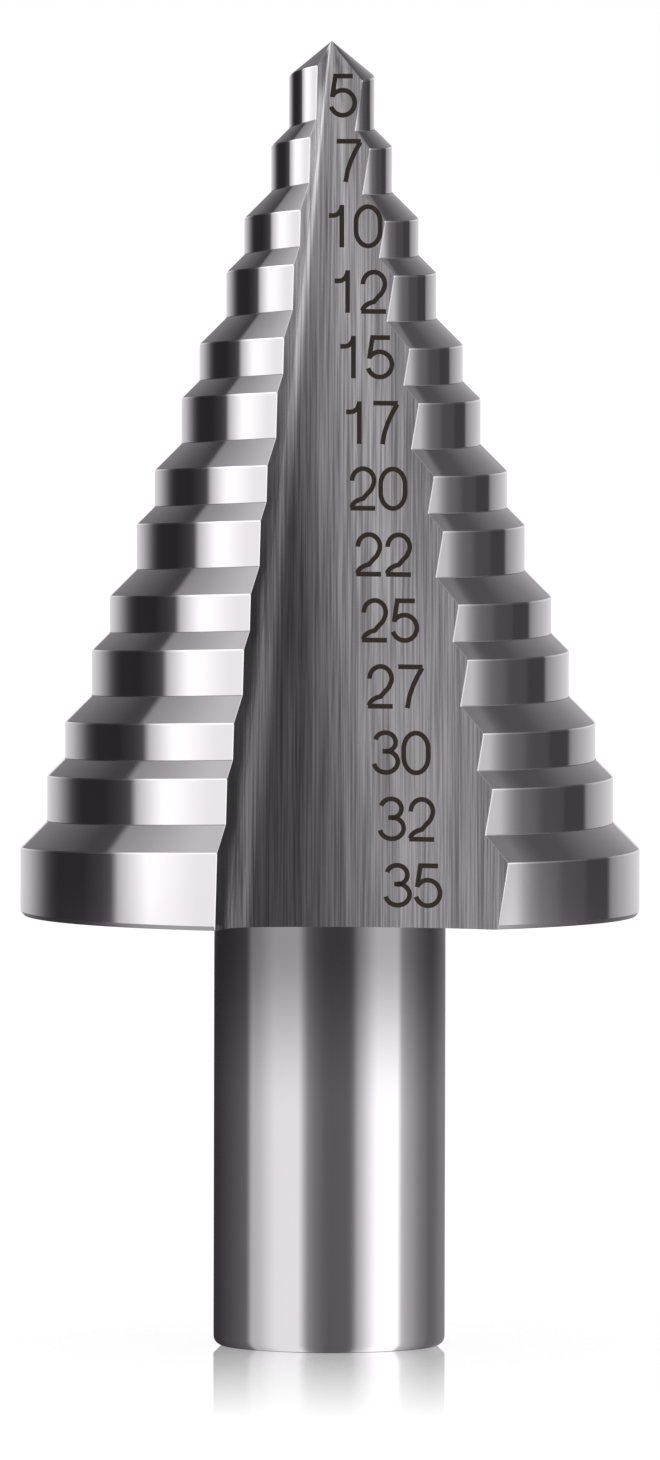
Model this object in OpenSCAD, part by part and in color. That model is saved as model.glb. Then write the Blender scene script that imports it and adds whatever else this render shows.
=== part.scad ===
// Step drill with two straight flutes and a plain round shank, ground from one bar.
// The shank stands on z = 0 and the point is at the top. Right-hand cutting, so the drill
// turns clockwise seen from the shank, and each land falls away behind its cutting edge.
// Angles round the axis are measured from +X towards +Y.

/* [Steps] */
// Diameter that the first step cuts
first_d = 5; // [4:0.5:6]
// Number of steps
step_count = 13; // [5:1:14]
// Growth in diameter from step to step, each diameter rounded down to a whole millimetre
step_growth = 2.5; // [2:0.5:3]
// Height of one step, chamfer included
step_pitch = 3.53; // [3:0.01:5]
// Length of the first step's side along the cutting edge
first_side = 3; // [1.5:0.1:6]
// Length of the last step's side along the cutting edge
last_side = 4.3; // [2:0.1:10]
// Angle between a chamfer and the axis
chamfer_angle = 45; // [40:1:55]
// Bevel round the underside of the last step
rim_bevel = 0.2; // [0.1:0.05:0.6]

/* [Point] */
// Included angle of the cone that grinds each lip
point_angle = 110; // [105:1:130]
// Tilt of that cone, which drops the point away behind its lip
point_tilt = 10; // [6:1:14]

/* [Relief] */
// Sideways shift of the chamfer cones, which drops each chamfer away behind its edge
chamfer_shift = 0.58; // [0.2:0.02:0.8]
// Angle from the cutting edge forward to the direction of that shift
relief_lead = 53; // [40:1:80]
// Amount by which the side of each step runs off centre behind its edge
side_shift = 0.18; // [0.04:0.02:0.3]

/* [Flutes] */
// Direction of the first cutting edge
edge_angle = -111.3; // [-130:0.1:-90]
// Undercut of the rake face from the line to the axis
hook_angle = 4.7; // [0:0.1:8]
// Depth of a flute below the last step
flute_depth = 5.5; // [4:0.1:7]
// Radius of the hollow flute floor at the last step
floor_r = 18; // [15:0.5:24]
// Angle from the cutting edge to the deepest line of the floor
floor_lead = 21.4; // [14:0.1:24]
// Slope at which the floor runs out to the heel
heel_slope = 27.6; // [24:0.1:36]
// Radius of the corner between the rake face and the floor at the last step
corner_r = 2.2; // [1.2:0.1:3]
// Distance above the point at which the two floors would meet, which leaves the web there
web_rise = 0.6; // [0.3:0.1:1.2]

/* [Shank] */
// Shank diameter
shank_d = 13; // [8:0.5:16]
// Shank length up to the last step
shank_len = 24.2; // [15:0.1:50]
// Chamfer at the end of the shank
shank_bevel = 0.5; // [0.2:0.1:1.5]

/* [Hidden] */
$fn = 96;
steel = [0.66, 0.66, 0.68];
last = step_count - 1;
// How far each step reaches down into the next, and past the plane that parts the lands
lap = 1;
part_lap = 0.05;
// Angle from the deepest line of a flute to the plane that parts the lands
part_lead = 6;
// Clearance of the cutting shapes beyond the last step
clearance = 3;
// Points along the corner and along the floor of a flute section
corner_points = 6;
floor_points = 10;
// Heights of the flute sections, as shares of the way from the point to the last step's underside
SECTIONS = [-0.02, 0, 0.04, 0.1, 0.2, 0.35, 0.55, 0.78, 1, 1.04];

function along(angle) = [cos(angle), sin(angle)];
function at_z(points, z) = [for (p = points) [p[0], p[1], z]];

// Radius of step k, counted from the point
function step_r(k) = (first_d + floor(k * step_growth)) / 2;
// Height of the chamfer below step k
function chamfer_h(k) = (step_r(k + 1) - step_r(k)) / tan(chamfer_angle);
// Lower and upper end of a step's side along the cutting edge
function side_low(k) = k == last
    ? shank_len
    : shank_len + last_side + chamfer_h(last - 1) + (last - 1 - k) * step_pitch;
function side_top(k) = k == 0
    ? side_low(0) + first_side
    : side_low(k - 1) - chamfer_h(k - 1);

// Fall of the tilted point cone for each millimetre out along the lip
point_half = point_angle / 2;
lip_cos = cos(relief_lead) * sin(point_tilt);
cone_gap = pow(cos(point_tilt), 2) - pow(cos(point_half), 2);
lip_root = pow(lip_cos * cos(point_tilt), 2) - cone_gap * (lip_cos * lip_cos - pow(cos(point_half), 2));
lip_fall = (sqrt(lip_root) - lip_cos * cos(point_tilt)) / cone_gap;
point_z = side_top(0) + lip_fall * step_r(0);

flange_r = step_r(last);
reach = flange_r + clearance;
run_out = 1.5 * reach;
relief_angle = edge_angle + relief_lead;
// The plane that parts the two lands lies inside both flutes
part_angle = edge_angle + floor_lead + part_lead;

// The side of a step runs off centre, so that only its cutting edge has the full radius
module side(k, z_low, z_high) {
    translate([side_shift * cos(edge_angle), side_shift * sin(edge_angle), z_low])
        cylinder(h = z_high - z_low, r = step_r(k) - side_shift);
}

// The cone that grinds the chamfer above step k, shifted so that the chamfer falls away
module chamfer_cone(k) {
    shift = chamfer_shift * along(relief_angle);
    edge_r = norm(step_r(k) * along(edge_angle) - shift);
    outer_r = step_r(k) + chamfer_shift + lap;
    inner_r = step_r(k - 1) / 2;
    rise = (outer_r - inner_r) / tan(chamfer_angle);
    cone_z = side_top(k) - (outer_r - edge_r) / tan(chamfer_angle);
    translate([shift[0], shift[1], side_low(k) - lap])
        cylinder(h = cone_z - side_low(k) + lap, r = outer_r);
    translate([shift[0], shift[1], cone_z])
        cylinder(h = rise, r1 = outer_r, r2 = inner_r);
}

// The tilted cone that grinds one half of the point
module point_cone() {
    cone_h = point_z - side_low(0) + step_pitch + first_d;
    translate([0, 0, point_z])
        rotate([0, 0, relief_angle])
            rotate([0, -point_tilt, 0])
                translate([0, 0, -cone_h])
                    cylinder(h = cone_h, r1 = cone_h * tan(point_half), r2 = 0);
}

module step(k) {
    foot = k == last ? shank_len + rim_bevel : side_low(k) - lap;
    intersection() {
        side(k, foot, k == 0 ? point_z : side_low(k - 1) + step_r(k));
        if (k == 0) {
            point_cone();
        }
        else {
            chamfer_cone(k);
        }
    }
}

// The bevel round the underside of the last step
module rim() {
    translate([side_shift * cos(edge_angle), side_shift * sin(edge_angle), shank_len])
        cylinder(h = rim_bevel, r1 = flange_r - side_shift - rim_bevel, r2 = flange_r - side_shift);
}

// One land with its steps, as the half of the body behind the parting plane
module land() {
    intersection() {
        union() {
            for (k = [0:last]) {
                step(k);
            }
            rim();
        }
        rotate([0, 0, part_angle])
            translate([-2 * reach, -2 * reach, shank_len - lap])
                cube([4 * reach, 2 * reach + part_lap, point_z - shank_len + 2 * lap]);
    }
}

// Section of a flute at a share of the way down from the point. The rake face follows the
// cone of the cutting edges, and the floor and the corner are arcs that grow with the depth.
function flute_section(share) =
    let (
        depth = max(share, 0) * (point_z - shank_len),
        grow = (depth + web_rise) / (point_z - shank_len + web_rise),
        cone_lead = flange_r * (point_z - shank_len) / (point_z - shank_len - last_side) - flange_r,
        edge_r = flange_r * (depth + cone_lead) / (point_z - shank_len + cone_lead),
        edge = edge_r * along(edge_angle),
        inward = along(edge_angle + 180 + hook_angle),
        normal = along(edge_angle + 90 + hook_angle),
        arc_r = grow * floor_r,
        arc_at = grow * (flange_r - flute_depth + floor_r) * along(edge_angle + floor_lead),
        fillet = grow * corner_r,
        from_arc = edge + fillet * normal - arc_at,
        cast = from_arc * inward,
        slide = sqrt(cast * cast - from_arc * from_arc + pow(arc_r - fillet, 2)) - cast,
        corner = edge + fillet * normal + slide * inward,
        turn_0 = edge_angle + 270 + hook_angle,
        turn_1 = atan2(corner[1] - arc_at[1], corner[0] - arc_at[0]),
        turn_2 = edge_angle + floor_lead + 180 - heel_slope,
        heel = arc_at + arc_r * along(turn_2)
    )
    concat(
        [edge - reach * inward],
        [for (i = [0:corner_points]) corner + fillet * along(turn_0 + (turn_1 - turn_0) * i / corner_points)],
        [for (i = [1:floor_points]) arc_at + arc_r * along(turn_1 + (turn_2 - turn_1) * i / floor_points)],
        [heel + run_out * along(turn_2 - 90)]
    );

// The space of one flute, lofted through its sections
module flute() {
    levels = len(SECTIONS);
    count = len(flute_section(1));
    points = [
        for (share = SECTIONS)
            each at_z(flute_section(share), point_z - share * (point_z - shank_len))
    ];
    polyhedron(points, concat(
        [[for (i = [0:count - 1]) i]],
        [for (j = [0:levels - 2], i = [0:count - 1])
            let (next = (i + 1) % count, row = j * count)
            [row + i, row + count + i, row + count + next]],
        [for (j = [0:levels - 2], i = [0:count - 1])
            let (next = (i + 1) % count, row = j * count)
            [row + i, row + count + next, row + next]],
        [[for (i = [count - 1:-1:0]) (levels - 1) * count + i]]
    ));
}

// Shank with a bevelled end, which a chuck grips
module shank() {
    cylinder(h = shank_bevel, r1 = shank_d / 2 - shank_bevel, r2 = shank_d / 2);
    translate([0, 0, shank_bevel])
        cylinder(h = shank_len + lap - shank_bevel, r = shank_d / 2);
}

module step_drill() {
    color(steel)
        union() {
            difference() {
                union() {
                    land();
                    rotate([0, 0, 180])
                        land();
                }
                flute();
                rotate([0, 0, 180])
                    flute();
            }
            shank();
        }
}

step_drill();
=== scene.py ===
"""Step drill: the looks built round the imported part.

The body is one mesh made from the same driving sizes as the solid, with small rounds on its
edges. Its rows run down the stepped outline and its columns run round the drill: the first
land, the first flute, the second land, the second flute. Lengths are in millimetres until a
mesh is made, and angles are in degrees, measured from +X towards +Y."""

import math

import bpy
import numpy as np
from mathutils import Matrix, Vector
from mathutils.geometry import tessellate_polygon

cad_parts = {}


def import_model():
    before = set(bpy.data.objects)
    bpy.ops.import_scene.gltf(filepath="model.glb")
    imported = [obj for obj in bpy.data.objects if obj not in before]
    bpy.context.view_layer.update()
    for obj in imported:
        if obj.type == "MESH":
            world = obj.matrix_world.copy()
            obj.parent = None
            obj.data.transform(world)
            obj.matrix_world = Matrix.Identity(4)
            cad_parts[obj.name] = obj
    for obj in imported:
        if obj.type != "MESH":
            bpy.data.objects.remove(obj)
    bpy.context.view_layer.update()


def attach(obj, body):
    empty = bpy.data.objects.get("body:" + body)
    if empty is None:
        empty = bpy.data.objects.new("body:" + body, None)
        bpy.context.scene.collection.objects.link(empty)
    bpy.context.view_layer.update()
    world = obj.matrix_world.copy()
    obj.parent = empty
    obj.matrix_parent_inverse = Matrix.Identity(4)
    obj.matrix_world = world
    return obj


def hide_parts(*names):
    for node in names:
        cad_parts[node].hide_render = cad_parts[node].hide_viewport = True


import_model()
MM = 0.001

# Steps, from the point down
FIRST_D, STEP_COUNT, STEP_GROWTH, STEP_PITCH = 5.0, 13, 2.5, 3.53
FIRST_SIDE, LAST_SIDE, CHAMFER_ANGLE, RIM_BEVEL = 3.0, 4.3, 45.0, 0.2
# Point and relief
POINT_ANGLE, POINT_TILT = 110.0, 10.0
CHAMFER_SHIFT, RELIEF_LEAD, SIDE_SHIFT = 0.58, 53.0, 0.18
# Flutes
EDGE_ANGLE, HOOK_ANGLE, FLUTE_DEPTH = -111.3, 4.7, 5.5
FLOOR_R, FLOOR_LEAD, HEEL_SLOPE, CORNER_R, WEB_RISE = 18.0, 21.4, 27.6, 2.2, 0.6
# Shank
SHANK_D, SHANK_LEN, SHANK_BEVEL = 13.0, 24.2, 0.5
# Rounds along the steps, in their inner corners, and beside the flutes, with a painted highlight, or a
# painted shade in the corners
STEP_ROUND, INNER_ROUND, FLUTE_ROUND = 0.05, 0.025, 0.04
# Columns across a land and across each part of a flute, and round the shank
LAND_COLUMNS, RAKE_COLUMNS, CORNER_COLUMNS, FLOOR_COLUMNS, HEEL_COLUMNS = 90, 5, 9, 26, 7
SHANK_COLUMNS = 160
# Strips of the round at the shank's end, and how many of the last ones are rougher with a painted shade
END_STRIPS, DULL_SHADED_STRIPS = 6, 2
# Slight downward tilt of the shank's shading, which keeps its reflections clear of the side panels
SHANK_TILT, END_TILT = 0.03, 0.3


def along(angle):
    a = math.radians(angle)
    return np.array([math.cos(a), math.sin(a)])


def step_r(k):
    return (FIRST_D + math.floor(k * STEP_GROWTH)) / 2


LAST = STEP_COUNT - 1
TAN_CHAMFER = math.tan(math.radians(CHAMFER_ANGLE))
EDGE_DIR = along(EDGE_ANGLE)
RELIEF_DIR = along(EDGE_ANGLE + RELIEF_LEAD)
SHIFT = CHAMFER_SHIFT * RELIEF_DIR


def chamfer_h(k):
    return (step_r(k + 1) - step_r(k)) / TAN_CHAMFER


def side_low(k):
    if k == LAST:
        return SHANK_LEN
    return SHANK_LEN + LAST_SIDE + chamfer_h(LAST - 1) + (LAST - 1 - k) * STEP_PITCH


def side_top(k):
    return side_low(0) + FIRST_SIDE if k == 0 else side_low(k - 1) - chamfer_h(k - 1)


def point_fall(direction):
    """Fall of the tilted point cone for each millimetre out from the axis."""
    half, tilt = math.radians(POINT_ANGLE / 2), math.radians(POINT_TILT)
    lean = float(direction @ RELIEF_DIR) * math.sin(tilt)
    gap = math.cos(tilt) ** 2 - math.cos(half) ** 2
    root = (lean * math.cos(tilt)) ** 2 - gap * (lean ** 2 - math.cos(half) ** 2)
    return (math.sqrt(root) - lean * math.cos(tilt)) / gap


POINT_Z = side_top(0) + point_fall(EDGE_DIR) * step_r(0)
FLUTE_LEN = POINT_Z - SHANK_LEN
FLANGE_R = step_r(LAST)
# Heights of the tips of the chamfer cones
CHAMFER_TOP = [side_top(k) + np.linalg.norm(step_r(k) * EDGE_DIR - SHIFT) / TAN_CHAMFER
               for k in range(STEP_COUNT)]


def side_radius(k, direction):
    """Radius of a step's side, which runs off centre behind its cutting edge."""
    lean = float(direction @ EDGE_DIR)
    reach = math.sqrt((step_r(k) - SIDE_SHIFT) ** 2 - SIDE_SHIFT ** 2 * (1 - lean ** 2))
    return SIDE_SHIFT * lean + reach


def chamfer_z(k, point):
    return CHAMFER_TOP[k] - np.linalg.norm(point - SHIFT) / TAN_CHAMFER


def side_row(k, low, inset):
    """A row on the side of step k, a small inset from its upper or lower corner."""
    def row(angle):
        direction = along(angle)
        r = side_radius(k, direction)
        if k == LAST and low:
            z = SHANK_LEN + RIM_BEVEL + inset
        elif low:
            z = chamfer_z(k + 1, r * direction) + inset
        elif k == 0:
            z = POINT_Z - r * point_fall(direction) - inset
        else:
            z = chamfer_z(k, r * direction) - inset
        normal = r * direction - SIDE_SHIFT * EDGE_DIR
        return r * direction, z, np.append(normal / np.linalg.norm(normal), 0)
    return row


def chamfer_row(k, share, inset):
    """A row on the chamfer above step k, at a share of the way out to its corner."""
    def row(angle):
        direction = along(angle)
        inner = side_radius(k - 1, direction)
        outer = side_radius(k, direction)
        r = inner + (outer - inner) * share + inset
        p = r * direction
        normal = (p - SHIFT) / np.linalg.norm(p - SHIFT)
        tall = math.radians(CHAMFER_ANGLE)
        return p, chamfer_z(k, p), np.append(normal * math.cos(tall), math.sin(tall))
    return row


def point_row(share, inset):
    """A row on the point cone, at a share of the way out to the first step's corner."""
    def row(angle):
        direction = along(angle)
        r = TIP_R + (side_radius(0, direction) - TIP_R) * share - inset
        fall = point_fall(direction)
        turn = (point_fall(along(angle + 0.5)) - point_fall(along(angle - 0.5))) / math.radians(1)
        across = np.array([-direction[1], direction[0]])
        normal = np.append(fall * direction + turn * across, 1)
        return r * direction, POINT_Z - r * fall, normal / np.linalg.norm(normal)
    return row


def rim_row(angle):
    """The row where the bevel under the last step meets the underside."""
    direction = along(angle)
    r = side_radius(LAST, direction) - RIM_BEVEL
    return r * direction, SHANK_LEN, np.append(direction, -1) / math.sqrt(2)


# Radius of the first row round the tip, and the shares of the way out at which other rows lie
TIP_R = 0.25
POINT_SHARES = (0, 0.15, 0.35, 0.6, 0.8)
CHAMFER_SHARES = (0.33, 0.67)
# Finishes, as places in the body's list of materials; EDGE is a painted highlight and CORNER rougher steel
# with a painted shade
LAND, FLUTE, SHANK, EDGE, CORNER = range(5)


def land_rows():
    """Rows from the point down, each with the finish of the strip above it."""
    rows = [(point_row(share, 0), LAND) for share in POINT_SHARES] + [(point_row(1, STEP_ROUND), LAND)]
    # Strips along the steps' edges carry a painted highlight, and strips in the inner corners and round the
    # rim a painted shade
    for k in range(STEP_COUNT):
        if k:
            rows.append((chamfer_row(k, 0, INNER_ROUND), CORNER))
            rows += [(chamfer_row(k, share, 0), LAND) for share in CHAMFER_SHARES]
            rows.append((chamfer_row(k, 1, -STEP_ROUND / math.sqrt(2)), LAND))
        rows.append((side_row(k, False, STEP_ROUND), EDGE))
        rows.append((side_row(k, True, STEP_ROUND if k == LAST else INNER_ROUND), LAND))
    rows.append((rim_row, CORNER))
    return rows


class Section:
    """Section of the first flute at one height: rake face, corner arc, floor arc and straight run-out."""

    def __init__(self, z):
        depth = max(POINT_Z - z, 0)
        grow = (depth + WEB_RISE) / (FLUTE_LEN + WEB_RISE)
        lead = FLANGE_R * FLUTE_LEN / (FLUTE_LEN - LAST_SIDE) - FLANGE_R
        self.edge = FLANGE_R * (depth + lead) / (FLUTE_LEN + lead) * EDGE_DIR
        self.inward = along(EDGE_ANGLE + 180 + HOOK_ANGLE)
        self.normal = along(EDGE_ANGLE + 90 + HOOK_ANGLE)
        self.arc_r = grow * FLOOR_R
        self.arc_at = grow * (FLANGE_R - FLUTE_DEPTH + FLOOR_R) * along(EDGE_ANGLE + FLOOR_LEAD)
        self.fillet = grow * CORNER_R
        off = self.edge + self.fillet * self.normal - self.arc_at
        cast = float(off @ self.inward)
        slide = math.sqrt(cast * cast - float(off @ off) + (self.arc_r - self.fillet) ** 2) - cast
        self.corner = self.edge + self.fillet * self.normal + slide * self.inward
        # The corner turns from 0 to 1, and the floor from 1 to 2
        self.turn_0 = EDGE_ANGLE + 270 + HOOK_ANGLE
        reach = self.corner - self.arc_at
        self.turn_1 = math.degrees(math.atan2(reach[1], reach[0]))
        self.turn_2 = EDGE_ANGLE + FLOOR_LEAD + 180 - HEEL_SLOPE
        self.heel = self.arc_at + self.arc_r * along(self.turn_2)
        self.out = along(self.turn_2 - 90)

    def rake_gap(self, p):
        return float((p - self.edge) @ self.normal)

    def floor_gap(self, p):
        """Positive in the flute, negative in the metal beyond the floor or the run-out."""
        if float((p - self.heel) @ self.out) > 0:
            return float((p - self.heel) @ -along(self.turn_2))
        return self.arc_r - np.linalg.norm(p - self.arc_at)

    def corner_point(self, share):
        a = self.turn_0 + (self.turn_1 - self.turn_0) * share
        return self.corner + self.fillet * along(a), -along(a)

    def floor_point(self, share, end):
        a = self.turn_1 + (end - self.turn_1) * share
        return self.arc_at + self.arc_r * along(a), -along(a)


def solve(gap, low, high):
    """The angle between low and high at which gap changes sign."""
    sign = gap(low) > 0
    for _ in range(40):
        middle = (low + high) / 2
        if (gap(middle) > 0) == sign:
            low = middle
        else:
            high = middle
    return (low + high) / 2


# Angles searched to each side of the cutting edge, and on from the deepest line of the floor
RAKE_SEARCH, HEEL_SEARCH = 60, 110


def edge_angles(row):
    """Angles of the first land's cutting edge and heel on one row."""
    def rake(angle):
        p, z, _ = row(angle)
        return Section(z).rake_gap(p)

    def heel(angle):
        p, z, _ = row(angle)
        return Section(z).floor_gap(-p)

    behind = EDGE_ANGLE + FLOOR_LEAD - 180
    return (solve(rake, EDGE_ANGLE - RAKE_SEARCH, EDGE_ANGLE + RAKE_SEARCH),
            solve(heel, behind, behind + HEEL_SEARCH))


def tilt_normal(flat, above, below, rise):
    """Tips a section's normal by the slope of the surface along the flute."""
    slope = (above - below) / rise
    normal = np.append(flat, -float(flat @ slope))
    return normal / np.linalg.norm(normal)


# Distances over which the slope along the flute and the slope across its floor are measured
STEP_Z, SLOPE_STEP = 0.02, 0.01
# Least length of the straight run-out, as a share of the floor's radius
LEAST_RUN = 0.02
# Where each part of a flute row begins and ends, in shares of its fall from the edge to the heel
PART_SPAN = {"rake": (0, 0.12), "corner": (0.12, 0.2), "floor": (0.2, 0.75), "heel": (0.75, 1)}
# Share of the corner's turn that the shading takes up on the rake face, as on a softly worn corner
CORNER_BEND = 0.45


def flute_row(start, z_start, stop, z_stop, lift):
    """Points and normals across the flute from the cutting edge to the next land's heel."""
    first = Section(z_start)
    last = Section(z_stop)
    along_out = float((stop - last.heel) @ last.out)
    end = last.turn_2
    # Where the land stops short of the run-out, the floor ends a little before the heel
    if along_out < LEAST_RUN * last.arc_r:
        gap = stop - last.arc_at
        end = math.degrees(math.atan2(gap[1], gap[0])) + math.degrees(LEAST_RUN)
    columns = ([("rake", i / RAKE_COLUMNS) for i in range(RAKE_COLUMNS)]
               + [("corner", i / (CORNER_COLUMNS - 1)) for i in range(CORNER_COLUMNS)]
               + [("floor", (i + 1) / FLOOR_COLUMNS) for i in range(FLOOR_COLUMNS)]
               + [("heel", (i + 1) / HEEL_COLUMNS) for i in range(HEEL_COLUMNS)])
    begin = start + FLUTE_ROUND * first.inward
    finish = stop - FLUTE_ROUND * last.out
    points = []
    for kind, share in columns:
        a, b = PART_SPAN[kind]
        z = z_start + (z_stop - z_start) * (a + (b - a) * share)
        here, up, down = Section(z), Section(z + STEP_Z), Section(z - STEP_Z)
        if kind == "rake":
            p = begin + (here.corner_point(0)[0] - begin) * share
            flat = here.corner_point(CORNER_BEND * share ** 2)[1]
            n = tilt_normal(flat, up.edge, down.edge, 2 * STEP_Z)
        elif kind == "corner":
            p = here.corner_point(share)[0]
            flat = here.corner_point(CORNER_BEND + (1 - CORNER_BEND) * share)[1]
            above, below = up.corner_point(share)[0], down.corner_point(share)[0]
            n = tilt_normal(flat, above, below, 2 * STEP_Z)
        elif kind == "floor":
            p, flat = here.floor_point(share, end)
            above, below = up.floor_point(share, end)[0], down.floor_point(share, end)[0]
            n = tilt_normal(flat, above, below, 2 * STEP_Z)
        else:
            root = here.floor_point(1, end)[0]
            p = root + (finish - root) * share
            above, below = up.floor_point(1, end)[0], down.floor_point(1, end)[0]
            n = tilt_normal(-along(end), above, below, 2 * STEP_Z)
        points.append((np.append(p - lift * n[:2], z), n, (p[0], z)))
    return points


def ring(row, flute_lift=0.0, flute_z=None):
    """One closed row round the drill, as points, normals and finish coordinates.

    At the underside, the part in the flutes is lifted into the metal and lies at one height."""
    cut, heel = edge_angles(row)
    p_cut, z_cut, _ = row(cut)
    p_heel, z_heel, _ = row(heel)
    if flute_z is not None:
        z_cut = z_heel = flute_z
    r_cut, r_heel = np.linalg.norm(p_cut), np.linalg.norm(p_heel)
    first = heel + math.degrees(FLUTE_ROUND / r_heel)
    last = cut - math.degrees(FLUTE_ROUND / r_cut)
    half = []
    for i in range(LAND_COLUMNS):
        angle = first + (last - first) * i / (LAND_COLUMNS - 1)
        p, z, n = row(angle)
        half.append((np.append(p, z), n, (math.radians(angle) * np.linalg.norm(p), z)))
    half += flute_row(p_cut, z_cut, -p_heel, z_heel, flute_lift)
    turn = np.array([-1, -1, 1])
    return half + [(p * turn, n * turn, uv) for p, n, uv in half]


def mesh_object(name, points, faces, materials):
    """Object in the scene, from points in millimetres."""
    mesh = bpy.data.meshes.new(name)
    mesh.from_pydata([Vector(p) * MM for p in points], [], faces)
    for material in materials:
        mesh.materials.append(material)
    obj = bpy.data.objects.new(name, mesh)
    bpy.context.scene.collection.objects.link(obj)
    return obj


class Builder:
    """Gathers faces with a normal and finish coordinates for each corner."""

    def __init__(self):
        self.points, self.faces, self.normals, self.uvs, self.slots = [], [], [], [], []

    def add_row(self, row):
        """Adds a row of points, each with a normal and finish coordinates, and gives it back with ids."""
        start = len(self.points)
        self.points += [tuple(p) for p, _, _ in row]
        return [(start + i, normal, uv) for i, (_, normal, uv) in enumerate(row)]

    def face(self, ids, normals, uvs, slot):
        self.faces.append(ids)
        self.normals += [tuple(n) for n in normals]
        self.uvs += uvs
        self.slots.append(slot)

    def bridge(self, upper, lower, slot_of):
        """Faces between two closed rows, each a list of (id, normal, uv)."""
        count = len(upper)
        for i in range(count):
            j = (i + 1) % count
            slot, source = slot_of(i)
            corners = [upper[i], lower[i], lower[j], upper[j]]
            shaded = {"own": corners,
                      "upper": [upper[i], upper[i], upper[j], upper[j]],
                      "lower": [lower[i], lower[i], lower[j], lower[j]],
                      "left": [upper[i], lower[i], lower[i], upper[i]],
                      "right": [upper[j], lower[j], lower[j], upper[j]]}[source]
            self.face([c[0] for c in corners], [c[1] for c in shaded], [c[2] for c in corners], slot)

    def make(self, name, materials):
        obj = mesh_object(name, self.points, self.faces, materials)
        mesh = obj.data
        mesh.polygons.foreach_set("material_index", self.slots)
        mesh.polygons.foreach_set("use_smooth", [True] * len(self.faces))
        layer = mesh.uv_layers.new(name="finish")
        layer.data.foreach_set("uv", [c for uv in self.uvs for c in uv])
        mesh.normals_split_custom_set(self.normals)
        return obj


HALF = LAND_COLUMNS + RAKE_COLUMNS + CORNER_COLUMNS + FLOOR_COLUMNS + HEEL_COLUMNS


def finish_of(strip):
    """Finish of each column in a strip, and the side that its shading comes from."""
    def slot(i):
        i %= HALF
        if i < LAND_COLUMNS - 1:
            return strip, {EDGE: "lower", CORNER: "upper"}.get(strip, "own")
        # The rounds beside the flutes carry the edge's painted highlight
        if i == LAND_COLUMNS - 1:
            return EDGE, "left"
        if i == HALF - 1:
            return EDGE, "right"
        return FLUTE, "own"
    return slot


def shank_ring(builder, r, z, tilt):
    """A round row, with its shading tilted down by a share."""
    side = math.sqrt(1 - tilt ** 2)
    points = []
    for i in range(SHANK_COLUMNS):
        angle = 360 * i / SHANK_COLUMNS
        x, y = along(angle)
        points.append(((r * x, r * y, z), (side * x, side * y, -tilt), (math.radians(angle) * r, z)))
    return builder.add_row(points)


def add_tip(builder, top):
    """Faces from the tip to the first row."""
    apex = builder.add_row([((0, 0, POINT_Z), None, None)])[0][0]
    for i, here in enumerate(top):
        after = top[(i + 1) % len(top)]
        ids, normals, uvs = zip((apex, *here[1:]), here, after)
        builder.face(ids, normals, uvs, finish_of(LAND)(i)[0])


def add_underside(builder, outer, inner):
    """The flat underside of the last step, between its rim and the shank."""
    flat_ids = [corner[0] for corner in outer + inner]
    loops = [[Vector(builder.points[corner[0]]) for corner in row] for row in (outer, inner)]
    for triangle in tessellate_polygon(loops):
        ids = [flat_ids[i] for i in triangle]
        a, b, c = (Vector(builder.points[i]) for i in ids)
        if (b - a).cross(c - a).z > 0:
            ids.reverse()
        builder.face(ids, [(0, 0, -1)] * 3, [(builder.points[i][0], SHANK_LEN) for i in ids], SHANK)


def add_shank(builder, neck):
    """The shank below its neck row, with a rounded end."""
    r = SHANK_D / 2
    rings = [neck] + [shank_ring(builder, r, z, SHANK_TILT) for z in (SHANK_LEN / 2, SHANK_BEVEL)]
    for i in range(1, END_STRIPS + 1):
        turn = math.pi / 2 * i / END_STRIPS
        inset, z = SHANK_BEVEL * (1 - math.cos(turn)), SHANK_BEVEL * (1 - math.sin(turn))
        tilt = SHANK_TILT + (END_TILT - SHANK_TILT) * math.sin(turn)
        rings.append(shank_ring(builder, r - inset, z, tilt))
    for i, (upper, lower) in enumerate(zip(rings, rings[1:])):
        # The last strips of the shank's end round carry the corner's painted shade
        slot = CORNER if i >= len(rings) - 1 - DULL_SHADED_STRIPS else SHANK
        builder.bridge(upper, lower, lambda _: (slot, "own"))
    end = [corner[0] for corner in reversed(rings[-1])]
    builder.face(end, [(0, 0, -1)] * SHANK_COLUMNS, [(builder.points[i][0], 0) for i in end], SHANK)


def build_body(materials):
    b = Builder()
    rows = []
    all_rows = land_rows()
    # The last two rows round off the flute's end at the underside
    flute_ends = {len(all_rows) - 2: (0, SHANK_LEN + FLUTE_ROUND),
                  len(all_rows) - 1: (FLUTE_ROUND, SHANK_LEN)}
    for index, (row, _) in enumerate(all_rows):
        rows.append(b.add_row(ring(row, *flute_ends.get(index, ()))))
    for upper, lower, (_, strip) in zip(rows, rows[1:], all_rows[1:]):
        b.bridge(upper, lower, finish_of(strip))
    add_tip(b, rows[0])
    neck = shank_ring(b, SHANK_D / 2, SHANK_LEN, SHANK_TILT)
    add_underside(b, rows[-1], neck)
    add_shank(b, neck)
    return b.make("drill_body", materials)


# Materials

STEEL = (0.74, 0.735, 0.74)
# Layers of grinding lines: scale across and along the flute, detail, and share of the whole
GRINDING = [((9.0, 0.13, 1.0), 3.0, 0.65), ((2.2, 0.05, 1.0), 2.0, 0.35)]
GRINDING_LOW, GRINDING_HIGH = 0.38, 0.62
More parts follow.
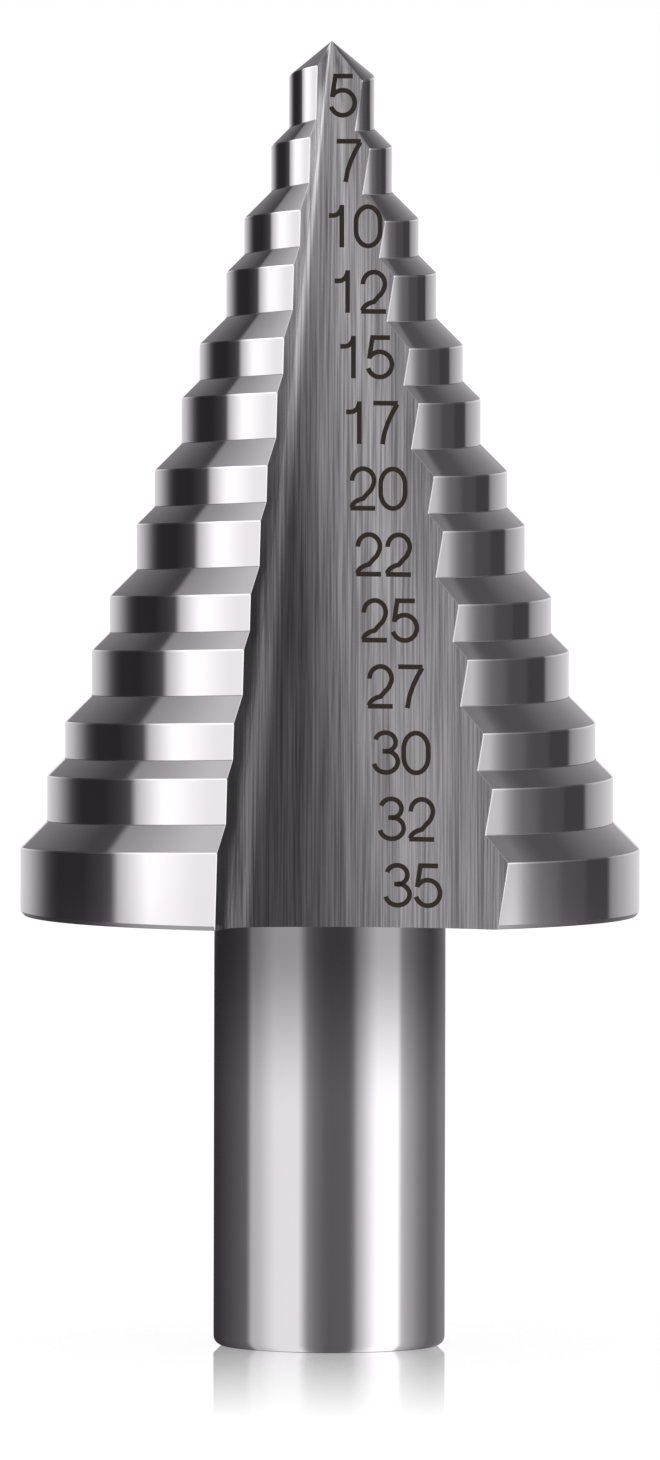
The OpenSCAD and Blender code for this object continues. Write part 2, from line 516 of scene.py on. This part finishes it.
# Shade across a flute, by distance from the axis in shares of the flute's size: the level of the full
# shade, and the heights at which it starts and is full
SHADE_FROM, SHADE_TO = -7.0, 5.0
FLUTE_SHADE = [(-7.0, 0.18, 67, 49), (-6.6, 0.24, 67, 49), (-6.0, 0.23, 67, 49), (-5.4, 0.2, 67, 49),
               (-4.9, 0.2, 67, 49), (-4.4, 0.13, 76, 46), (-3.6, 0.125, 76, 46), (-2.8, 0.19, 77, 43),
               (-1.7, 0.215, 78, 38), (-1.0, 0.29, 80, 30), (4.1, 0.82, 80, 30)]
# Heights between which a painted shade darkens the shank towards the last step, and the shade's level there
NECK_FROM, NECK_TO, NECK_SHADE_LEVEL = 13.0, 23.2, 0.385


class Nodes:
    """One material, with helpers that add and link its shader nodes."""

    def __init__(self, name):
        self.material = bpy.data.materials.new(name)
        self.material.use_nodes = True
        self.tree = self.material.node_tree
        self.tree.nodes.clear()

    def add(self, kind, inputs=None, **settings):
        """Adds a node. Each input is a socket to link or a plain value."""
        node = self.tree.nodes.new("ShaderNode" + kind)
        for key, value in settings.items():
            setattr(node, key, value)
        for key, value in (inputs or {}).items():
            if isinstance(value, bpy.types.NodeSocket):
                self.tree.links.new(value, node.inputs[key])
            else:
                node.inputs[key].default_value = value
        return node

    def math(self, operation, a, b):
        return self.add("Math", {0: a, 1: b}, operation=operation).outputs["Value"]

    def vector(self, operation, a, b, output="Vector"):
        return self.add("VectorMath", {0: a, 1: b}, operation=operation).outputs[output]

    def between(self, value, low, high, start=0.0, end=1.0, smooth=False):
        """Turns a value's way from low to high into a way from start to end."""
        inputs = {"Value": value, "From Min": low, "From Max": high, "To Min": start, "To Max": end}
        blend = "SMOOTHSTEP" if smooth else "LINEAR"
        return self.add("MapRange", inputs, interpolation_type=blend).outputs["Result"]

    def mix(self, share, a, b):
        """Blend of two colours, each a socket or a plain colour."""
        a, b = (c if isinstance(c, bpy.types.NodeSocket) else (*c, 1) for c in (a, b))
        return self.add("Mix", {0: share, 6: a, 7: b}, data_type="RGBA").outputs[2]

    def ramp(self, share, stops):
        """Colour that runs through stops, each a share and a colour."""
        node = self.add("ValToRGB", {"Fac": share})
        elements = node.color_ramp.elements
        while len(elements) < len(stops):
            elements.new(0.5)
        for element, (position, color) in zip(elements, stops):
            element.position = position
            element.color = (*color, 1)
        return node.outputs["Color"]

    def finish_uv(self):
        """Distance across and height, in millimetres."""
        return self.add("UVMap", uv_map="finish").outputs["UV"]

    def surface(self, shader):
        """Ends the material with a shader socket."""
        self.add("OutputMaterial", {"Surface": shader})
        return self.material

    def metal(self, color, roughness):
        inputs = {"Metallic": 1.0, "Base Color": color, "Roughness": roughness}
        return self.surface(self.add("BsdfPrincipled", inputs).outputs["BSDF"])


def scaled(color, factor):
    return tuple(min(c * factor, 1) for c in color)


def steel(name, roughness, color=STEEL):
    """Plain bright steel."""
    return Nodes(name).metal((*color, 1), roughness)


def flute_shade(n, uv):
    """Level and amount of the shade that comes in down the flute, most of all in its corner."""
    place = n.add("SeparateXYZ", {"Vector": uv}).outputs
    grow = n.between(place["Y"], POINT_Z + WEB_RISE, SHANK_LEN)
    share = n.between(n.math("DIVIDE", place["X"], grow), SHADE_FROM, SHADE_TO)
    places, *columns = zip(*FLUTE_SHADE)
    # A ramp holds values up to one, so it holds heights in decimetres
    level, start, full = (
        n.ramp(share, [((x - SHADE_FROM) / (SHADE_TO - SHADE_FROM), (value / unit,) * 3)
                       for x, value in zip(places, values)])
        for values, unit in zip(columns, (1, 100, 100)))
    return level, n.between(n.math("DIVIDE", place["Y"], 100.0), start, full)


def ground_steel(name, roughness, dark, light):
    """Steel with grinding lines along the flute, shaded towards the last step."""
    n = Nodes(name)
    uv = n.finish_uv()
    layers = []
    for scale, detail, _ in GRINDING:
        mapping = n.add("Mapping", {"Vector": uv, "Scale": scale})
        noise = n.add("TexNoise", {"Vector": mapping.outputs["Vector"], "Scale": 1.0, "Detail": detail})
        layers.append(n.between(noise.outputs["Fac"], GRINDING_LOW, GRINDING_HIGH))
    parts = [part for _, _, part in GRINDING]
    lines = n.math("ADD", *(n.math("MULTIPLY", layer, part) for layer, part in zip(layers, parts)))
    level, amount = flute_shade(n, uv)
    color = n.vector("MULTIPLY", n.mix(lines, scaled(STEEL, dark), scaled(STEEL, light)),
                     n.mix(amount, (1, 1, 1), level))
    return n.metal(color, n.between(layers[0], 0.0, 1.0, roughness * 1.2, roughness * 0.8))


def neck_steel(name, roughness):
    """Steel with a painted shade that darkens it towards the last step, where the shank is shaded."""
    n = Nodes(name)
    height = n.add("SeparateXYZ", {"Vector": n.finish_uv()}).outputs["Y"]
    share = n.between(height, NECK_FROM, NECK_TO, smooth=True)
    return n.metal(n.mix(share, STEEL, scaled(STEEL, NECK_SHADE_LEVEL)), roughness)


def marking(name):
    """Dark, dull etching."""
    n = Nodes(name)
    inputs = {"Base Color": (0.032, 0.021, 0.013, 1), "Roughness": 0.6, "Specular IOR Level": 0.2}
    return n.surface(n.add("BsdfPrincipled", inputs).outputs["BSDF"])


# The shank's steel carries a painted shade towards the last step
shank_steel_painted_shade = neck_steel("shank_steel_painted_shade", roughness=0.09)
# In the order of the finishes LAND, FLUTE, SHANK, EDGE (a painted highlight) and CORNER (a painted shade)
body = build_body([
    steel("turned_steel", roughness=0.07),
    ground_steel("flute_steel", roughness=0.18, dark=0.52, light=1.35),
    shank_steel_painted_shade,
    # White steel on the rounds along the edges: a painted highlight line
    steel("edge_painted_highlight", roughness=0.12, color=(1.0, 1.0, 1.0)),
    # Rougher, half-bright steel: its darkness is a painted shade in the corners, round the rim and at the
    # shank's end
    steel("dull_corner_painted_shade", roughness=0.3, color=scaled(STEEL, 0.5))])
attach(body, "root")
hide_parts("step_drill")


# Numbers in the flute: thin strokes in a box one unit wide and high

def bow(x, y, rx, ry, start, stop):
    """Points along part of an oval."""
    count = max(6, round(abs(stop - start) / 8))
    turns = [math.radians(start + (stop - start) * i / count) for i in range(count + 1)]
    return [(x + rx * math.cos(t), y + ry * math.sin(t)) for t in turns]


DIGITS = {
    "0": [bow(0.5, 0.6, 0.5, 0.4, 0, 180) + bow(0.5, 0.4, 0.5, 0.4, 180, 360) + [(1.0, 0.6)]],
    "1": [[(0.1, 0.77)] + bow(0.28, 1.02, 0.35, 0.25, -90, -5), [(0.64, 1.04), (0.64, -0.04)]],
    "2": [bow(0.5, 0.7, 0.45, 0.3, 182, -20) + bow(0.27, 0.66, 0.65, 0.36, -14, -48)
          + bow(0.75, 0.0, 0.72, 0.26, 110, 176), [(-0.02, 0.0), (1.0, 0.0)]],
    "3": [bow(0.47, 0.76, 0.42, 0.24, 165, -90), bow(0.49, 0.27, 0.49, 0.27, 90, -168),
          [(0.35, 0.53), (0.5, 0.53)]],
    "5": [[(0.92, 1.0), (0.2, 1.0), (0.07, 0.46)], bow(0.5, 0.32, 0.5, 0.32, 150, -162)],
    "7": [[(0.0, 1.0), (1.0, 1.0)], [(0.98, 0.98), (0.78, 0.76), (0.6, 0.52), (0.46, 0.26), (0.37, -0.04)]],
}
# Size of one figure, distance from one to the next, and width of a stroke
DIGIT_W, DIGIT_H, DIGIT_PITCH, STROKE = 1.36, 2.19, 1.66, 0.265
# Middle of the first number, and the way down and across to each next one
MARK_X, MARK_Z, MARK_LEAN, MARK_PITCH = 0.63, 70.17, 0.3305, 3.638
# Distance of the numbers off the flute's floor
MARK_LIFT = 0.012


def floor_at(x, z):
    """Depth of the flute's floor at a place seen from the front."""
    s = Section(z)
    if x > s.heel[0]:
        return s.heel[1] + (x - s.heel[0]) * s.out[1] / s.out[0]
    return s.arc_at[1] + math.sqrt(s.arc_r ** 2 - (x - s.arc_at[0]) ** 2)


def ribbon(line, width):
    """Left and right edges of a stroke of one width along a line."""
    line = [np.array(p) for p in line]
    sides = []
    for i, p in enumerate(line):
        before = p - line[i - 1] if i else line[1] - p
        after = line[i + 1] - p if i + 1 < len(line) else before
        before, after = before / np.linalg.norm(before), after / np.linalg.norm(after)
        middle = before + after
        middle /= np.linalg.norm(middle)
        across = np.array([-middle[1], middle[0]]) * width / 2 / max(float(middle @ after), 0.5)
        sides.append((p + across, p - across))
    return sides


def on_floor(x, z):
    """A point just off the flute's floor, at a place seen from the front."""
    slope = (floor_at(x + SLOPE_STEP, z) - floor_at(x - SLOPE_STEP, z)) / (2 * SLOPE_STEP)
    lift = MARK_LIFT / math.hypot(1, slope)
    return x + lift * slope, floor_at(x, z) - lift, z


def number_strokes(k):
    """Strokes of the number of step k, as lines in the flute seen from the front."""
    text = str(math.floor(2 * step_r(k)))
    strokes = [[(x * DIGIT_W + place * DIGIT_PITCH, y * DIGIT_H) for x, y in stroke]
               for place, digit in enumerate(text) for stroke in DIGITS[digit]]
    xs = [x for stroke in strokes for x, _ in stroke]
    left = MARK_X + MARK_LEAN * k - (min(xs) + max(xs)) / 2
    base = MARK_Z - MARK_PITCH * k - DIGIT_H / 2
    return [[(left + x, base + y) for x, y in stroke] for stroke in strokes]


def build_marks(material):
    points, faces = [], []
    for k in range(STEP_COUNT):
        for stroke in number_strokes(k):
            sides = ribbon(stroke, STROKE)
            for turn in (1, -1):
                start = len(points)
                for pair in sides:
                    for x, y, z in (on_floor(x, z) for x, z in pair):
                        points.append((turn * x, turn * y, z))
                for i in range(len(sides) - 1):
                    a = start + 2 * i
                    faces.append((a, a + 1, a + 3, a + 2))
    return mesh_object("size_marks", points, faces, [material])


marks = build_marks(marking("etched_mark"))
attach(marks, "root")
# The ground rake face is too rough to mirror the numbers
marks.visible_glossy = False


# Camera, at the photo's viewing angle. Pixel values are in the 660 by 1460 frame.
FRAME_W, FRAME_H = 660, 1460
PIXELS_PER_MM = 17.812
CAMERA_DISTANCE = 900.0
CAMERA_RISE = 51.64
CAMERA_X = -0.02
HORIZON_ROW = -5
AXIS_LEAN = 0.0022


def place_camera():
    middle_z = SHANK_LEN + CAMERA_RISE - (FRAME_H / 2 - HORIZON_ROW) / PIXELS_PER_MM
    eye = Vector((CAMERA_X, -CAMERA_DISTANCE, SHANK_LEN + CAMERA_RISE))
    aim = Vector((CAMERA_X, 0, middle_z))
    camera = bpy.data.cameras.new("camera")
    camera.sensor_fit = "VERTICAL"
    camera.sensor_height = 36
    camera.lens = PIXELS_PER_MM * (eye - aim).length / FRAME_H * camera.sensor_height
    camera.clip_start, camera.clip_end = 0.01, 50
    obj = bpy.data.objects.new("camera", camera)
    look = (aim - eye).to_track_quat("-Z", "Y").to_matrix().to_4x4()
    obj.matrix_world = Matrix.Translation(eye * MM) @ look @ Matrix.Rotation(AXIS_LEAN, 4, "Z")
    bpy.context.scene.collection.objects.link(obj)
    bpy.context.scene.camera = obj


place_camera()


# Studio: a white world and floor, and a wall of panels that only the metal reflects
def gray(display):
    """Linear strength that a display value from 0 to 255 stands for."""
    c = display / 255
    return c / 12.92 if c <= 0.04045 else ((c + 0.055) / 1.055) ** 2.4


def world():
    w = bpy.data.worlds.new("studio")
    bpy.context.scene.world = w
    w.use_nodes = True
    background = w.node_tree.nodes["Background"]
    background.inputs["Color"].default_value = (1, 1, 1, 1)
    background.inputs["Strength"].default_value = 1.0


world()

# Brightness of the panels round the drill, as display values on steel. Azimuths run from -Y towards +X.
SHANK_PANELS = [
    (-180, 45), (-145, 50), (-131, 61), (-111, 75), (-92, 92), (-89, 115), (-84, 172), (-75, 179),
    (-56, 220), (-31, 222), (-27, 186), (-22, 133), (-15, 108), (-5, 88), (0, 84), (18, 87),
    (23, 105), (28, 162), (35, 200), (44, 242), (49, 258), (72, 258), (77, 182), (84, 161),
    (101, 122), (118, 94), (129, 97), (142, 112), (163, 120), (180, 120)]
SIDE_PANELS = [
    (-180, 205), (-160, 188), (-150, 172), (-143, 146), (-137, 116), (-131, 76), (-126, 52),
    (-121, 39), (-104, 37), (-94, 54), (-88, 72), (-84.5, 180), (-78, 223), (-70, 262), (-50, 230),
    (20, 220), (72, 186), (76, 152), (80, 122), (84, 101), (92, 88), (96, 73), (109, 70), (111, 59),
    (125.5, 61), (128.5, 132), (137, 158), (149, 180), (157, 190), (180, 205)]
LOW_PANELS = [
    (-180, 120), (-160, 110), (-148, 88), (-138, 64), (-100, 75), (-60, 138), (-44, 150),
    (-33, 147), (-21, 143), (3, 142), (15, 145), (23, 157), (30, 185), (45, 224), (70, 224),
    (88, 212), (110, 150), (127, 76), (135, 76), (152, 120), (165, 148), (180, 150)]
TOP_PANELS = [
    (-180, 115), (-136, 120), (-123, 152), (-109, 185), (-40, 170), (20, 150), (121, 116),
    (180, 116)]
# Heights between which the shank's panels give way to the side ones, those to the low ones, and so on
SIDE_FROM, LOW_FROM, TOP_FROM = (-42, -34), (85, 110), (645, 690)
# The lower edge of the top panels leans down towards the front and the left
TOP_LEAN = (-0.1285, -0.2335, 1.0)
# Share of a panel's light that the steel gives back
STEEL_SHARE = 0.72
DOME_R, DOME_Z, DOME_COLUMNS, DOME_ROWS = 1000.0, 40.0, 96, 48
# Strengths of the floor's own colour and of its glow, which together look white
FLOOR_COLOR, FLOOR_GLOW, FLOOR_SIZE = 0.35, 0.72, 6000.0
# Share of the painted reflection, the shank's mirror image, that shows at the shank, and the distances over
# which it fades
MIRROR_IMAGE_SHARE, MIRROR_IMAGE_FROM, MIRROR_IMAGE_TO = 0.64, 6.5, 50.0
# Gap between the floor and the top of the mirror image
MIRROR_GAP = 0.01


def panel_ramp(n, share, panels):
    """Ramp through a list of panels, with the faint violet cast that the steel shows."""
    return n.ramp(share, [((azimuth + 180) / 360, (gray(value + 1), gray(value - 2), gray(value + 1)))
                          for azimuth, value in panels])


def stage_mesh(name, points, faces, material):
    obj = mesh_object(name, points, faces, [material])
    return obj


def build_dome():
    """Dome of light and dark panels that only the metal reflects."""
    n = Nodes("studio_panels")
    position = n.add("NewGeometry").outputs["Position"]
    xyz = n.add("SeparateXYZ", {"Vector": position}).outputs
    angle = n.math("ARCTAN2", xyz["X"], n.math("MULTIPLY", xyz["Y"], -1.0))
    share = n.between(angle, -math.pi, math.pi)
    leaning = n.vector("DOT_PRODUCT", position, TOP_LEAN, "Value")
    color = panel_ramp(n, share, SHANK_PANELS)
    for height, (low, high), panels in ((xyz["Z"], SIDE_FROM, SIDE_PANELS),
                                        (xyz["Z"], LOW_FROM, LOW_PANELS),
                                        (leaning, TOP_FROM, TOP_PANELS)):
        over = n.between(height, low * MM, high * MM, smooth=True)
        color = n.mix(over, color, panel_ramp(n, share, panels))
    lamp = n.add("Emission", {"Color": color, "Strength": 1 / STEEL_SHARE})
    n.surface(lamp.outputs["Emission"])
    points = []
    for j in range(DOME_ROWS + 1):
        tall = math.pi * j / DOME_ROWS - math.pi / 2
        for i in range(DOME_COLUMNS):
            x, y = along(360 * i / DOME_COLUMNS) * DOME_R * math.cos(tall)
            points.append((x, y, DOME_Z + DOME_R * math.sin(tall)))
    faces = []
    for j in range(DOME_ROWS):
        for i in range(DOME_COLUMNS):
            a, b = j * DOME_COLUMNS + i, j * DOME_COLUMNS + (i + 1) % DOME_COLUMNS
            faces.append((a, b, b + DOME_COLUMNS, a + DOME_COLUMNS))
    dome = stage_mesh("studio_dome", points, faces, n.material)
    dome.visible_camera = dome.visible_diffuse = dome.visible_shadow = False


def build_floor():
    """White floor. Near the shank it turns see-through, so that the shank's mirror image below shows
    through as a painted reflection.
    """
    n = Nodes("floor_white")
    diffuse = n.add("BsdfDiffuse", {"Color": (FLOOR_COLOR, FLOOR_COLOR, FLOOR_COLOR, 1)})
    glow = n.add("Emission", {"Color": (1, 1, 1, 1), "Strength": FLOOR_GLOW})
    white = n.add("AddShader", {0: diffuse.outputs["BSDF"], 1: glow.outputs["Emission"]})
    position = n.add("NewGeometry").outputs["Position"]
    away = n.add("VectorMath", {0: position}, operation="LENGTH").outputs["Value"]
    see_through = n.between(away, MIRROR_IMAGE_FROM * MM, MIRROR_IMAGE_TO * MM, MIRROR_IMAGE_SHARE, 0.0)
    clear = n.add("BsdfTransparent")
    mix = n.add("MixShader", {0: see_through, 1: white.outputs["Shader"], 2: clear.outputs["BSDF"]})
    n.surface(mix.outputs["Shader"])
    corners = [(x * FLOOR_SIZE, y * FLOOR_SIZE, 0) for x, y in ((-1, -1), (1, -1), (1, 1), (-1, 1))]
    floor = stage_mesh("floor", corners, [(0, 1, 2, 3)], n.material)
    floor.visible_glossy = False


def build_mirror_image(material):
    """The shank upside down below the floor, as a painted reflection of it in the floor."""
    b = Builder()
    r = SHANK_D / 2
    rings = [shank_ring(b, r - SHANK_BEVEL, -MIRROR_GAP, 0), shank_ring(b, r, -SHANK_BEVEL, 0),
             shank_ring(b, r, -SHANK_LEN / 2, 0), shank_ring(b, r, -SHANK_LEN, 0)]
    for upper, lower in zip(rings, rings[1:]):
        b.bridge(upper, lower, lambda i: (0, "own"))
    b.uvs = [(u, -v) for u, v in b.uvs]
    image = b.make("mirror_image", [material])
    image.visible_glossy = image.visible_diffuse = image.visible_shadow = False


build_dome()
build_floor()
build_mirror_image(shank_steel_painted_shade)

scene = bpy.context.scene
scene.view_settings.view_transform = "Standard"
